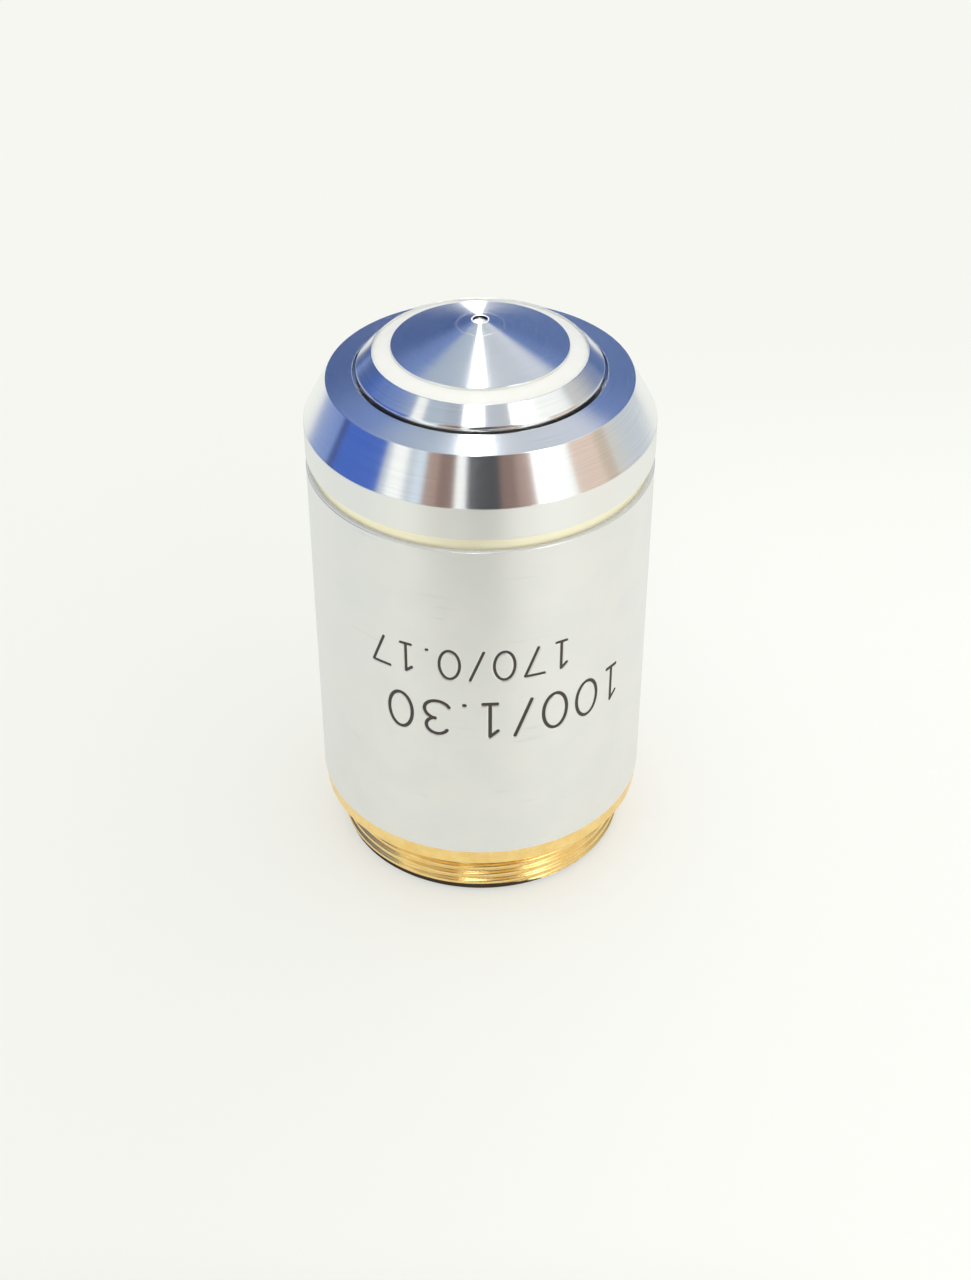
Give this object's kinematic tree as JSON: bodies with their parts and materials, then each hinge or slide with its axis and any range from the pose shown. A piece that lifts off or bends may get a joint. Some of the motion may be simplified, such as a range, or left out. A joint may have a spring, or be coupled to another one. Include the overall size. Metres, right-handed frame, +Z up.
{
  "type": "microscope objective",
  "caption": "Short-barrel oil-immersion microscope objective: satin sleeve on a brass screw-thread barrel, with a sprung conical nosepiece that retracts.",
  "frame": {"origin": "centre of the rear face of the thread, which the objective stands on", "axes": "+Z up the optical axis from the rear thread to the front lens; +Y through the guide screw; -Y towards the engraved figures"},
  "size_m": [0.0228, 0.0228, 0.04],
  "materials": {
    "turned_brass": "turned, bright",
    "pale_brass": "turned, pale",
    "cell_brass": "turned",
    "satin_plate": "satin",
    "polished_plate": "polished, fine turning marks",
    "white_enamel": "gloss enamel",
    "black_finish": "matt black",
    "bright_steel": "drawn, bright",
    "optical_glass": "polished and coated"
  },
  "bodies": {
    "barrel_unit": {"barrel": "turned_brass", "outer_sleeve": "satin_plate", "groove_ring": "pale_brass", "nose_ring": "polished_plate", "rear_ring": "black_finish", "guide_screw": "bright_steel", "return_spring": "bright_steel"},
    "lens_unit": {"nosepiece": "polished_plate", "white_band": "white_enamel", "front_cell": "polished_plate", "front_lens": "optical_glass", "meniscus_cell": "cell_brass", "meniscus_lens": "optical_glass", "middle_cell": "cell_brass", "middle_crown": "optical_glass", "middle_flint": "optical_glass", "cell_spacer": "cell_brass", "rear_cell": "cell_brass", "rear_crown": "optical_glass", "rear_flint": "optical_glass", "aperture_stop": "black_finish", "cell_lock_ring": "black_finish", "lens_tube": "cell_brass", "parfocal_shim": "cell_brass"}
  },
  "joints": [
    {"name": "nose_retract", "type": "slide", "parent": "barrel_unit", "child": "lens_unit", "axis": [0, 0, -1], "range_m": [0, 0.0022], "stiffness_N_per_m": 130, "springref_m": -0.01, "deforming": ["return_spring"]}
  ]
}
